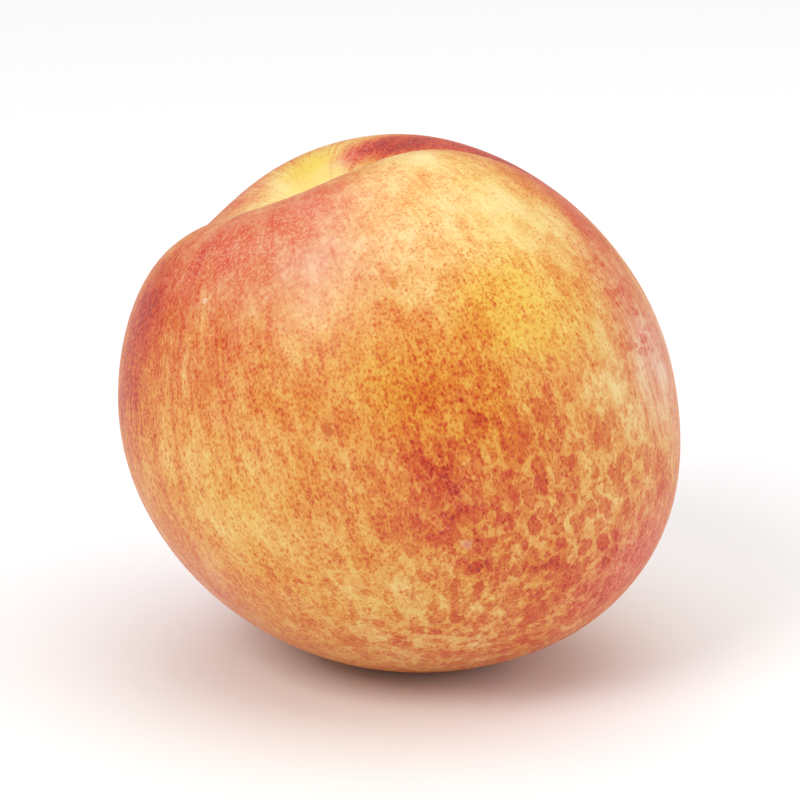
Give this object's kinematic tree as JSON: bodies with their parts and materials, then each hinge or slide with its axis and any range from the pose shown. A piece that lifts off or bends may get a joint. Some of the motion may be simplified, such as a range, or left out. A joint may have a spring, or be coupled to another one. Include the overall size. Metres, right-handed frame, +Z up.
{
  "type": "nectarine",
  "caption": "Whole ripe nectarine with a stem pit, a suture groove and smooth mottled skin; fruit to eat, to stack in a bowl or to dress a kitchen or market scene.",
  "frame": {"origin": "middle of the flat resting spot under the fruit", "axes": "+Z up from the resting spot, -Y towards the viewer, +X to the viewer's right; the stem axis leans about 22 degrees from +Z towards -X"},
  "size_m": [0.0712, 0.0693, 0.0677],
  "materials": {
    "fruit_skin": "smooth waxy skin with a satin sheen, yellow ground colour mottled and blushed with orange red"
  },
  "bodies": {
    "root": {"nectarine": "fruit_skin"}
  },
  "joints": []
}
